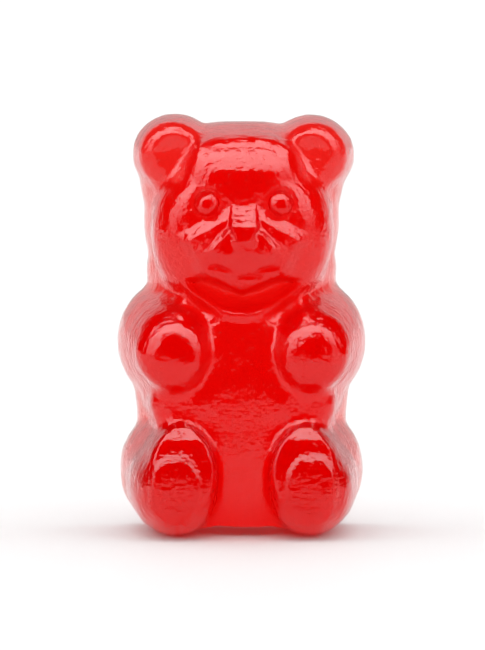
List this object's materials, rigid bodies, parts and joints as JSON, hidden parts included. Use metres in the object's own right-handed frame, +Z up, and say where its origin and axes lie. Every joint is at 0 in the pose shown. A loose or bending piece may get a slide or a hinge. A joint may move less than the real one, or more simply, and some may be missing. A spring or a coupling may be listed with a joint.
{
  "type": "gummy bear",
  "caption": "Translucent red gummy bear sweet with a moulded front and a flat back, standing on the flats under its feet.",
  "frame": {"origin": "middle of the bounding box's underside, on the surface the bear stands on", "axes": "+Z up from the feet to the ears, -Y out of the bear's face, +Y out of its flat back, +X to the right as the bear is seen from the front"},
  "size_m": [0.013, 0.0092, 0.0216],
  "materials": {
    "red_jelly": "glossy, translucent red fruit jelly"
  },
  "bodies": {
    "root": {"gummy_bear": "red_jelly"}
  },
  "joints": []
}
